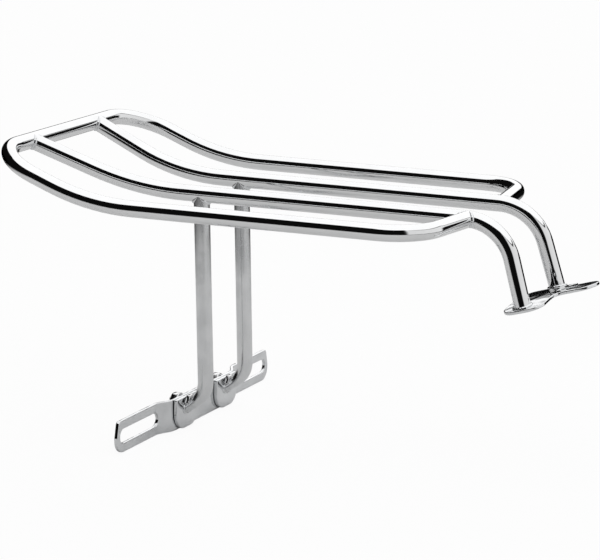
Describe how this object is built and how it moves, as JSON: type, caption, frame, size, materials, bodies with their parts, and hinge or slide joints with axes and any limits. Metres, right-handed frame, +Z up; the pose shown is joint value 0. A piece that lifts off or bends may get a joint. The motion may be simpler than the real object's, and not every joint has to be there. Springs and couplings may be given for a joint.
{
  "type": "motorcycle luggage rack",
  "caption": "Chromed tube luggage rack with a kicked-up rear, two inner rails bent down to a saddle foot, and two struts to a slotted cross bracket.",
  "frame": {"origin": "middle of the slotted bracket's rear face, midway between its two slots", "axes": "+X forward along the machine, +Y to its left, +Z up"},
  "size_m": [0.4624, 0.269, 0.2303],
  "materials": {
    "tube_chrome": "bright polished chrome",
    "strut_chrome": "chrome over drawn tube, soft streaks",
    "plate_chrome": "chrome over stamped plate",
    "fastener": "bright plated",
    "weld_bead": "chrome over a smoothed weld"
  },
  "bodies": {
    "root": {"outer_loop": "tube_chrome", "inner_rail_left": "tube_chrome", "inner_rail_right": "tube_chrome", "strut_left": "strut_chrome", "strut_right": "strut_chrome", "foot_plate": "plate_chrome", "tab_left": "plate_chrome", "tab_right": "plate_chrome", "slotted_bracket": "plate_chrome", "bolt_left": "fastener", "bolt_right": "fastener", "washer_left": "fastener", "washer_right": "fastener", "nut_left": "fastener", "nut_right": "fastener", "weld_rear_left": "weld_bead", "weld_rear_right": "weld_bead", "weld_front_left": "weld_bead", "weld_front_right": "weld_bead", "weld_strut_top_left": "weld_bead", "weld_strut_top_right": "weld_bead", "weld_strut_foot_left": "weld_bead", "weld_strut_foot_right": "weld_bead", "weld_leg_left": "weld_bead", "weld_leg_right": "weld_bead"}
  },
  "joints": []
}
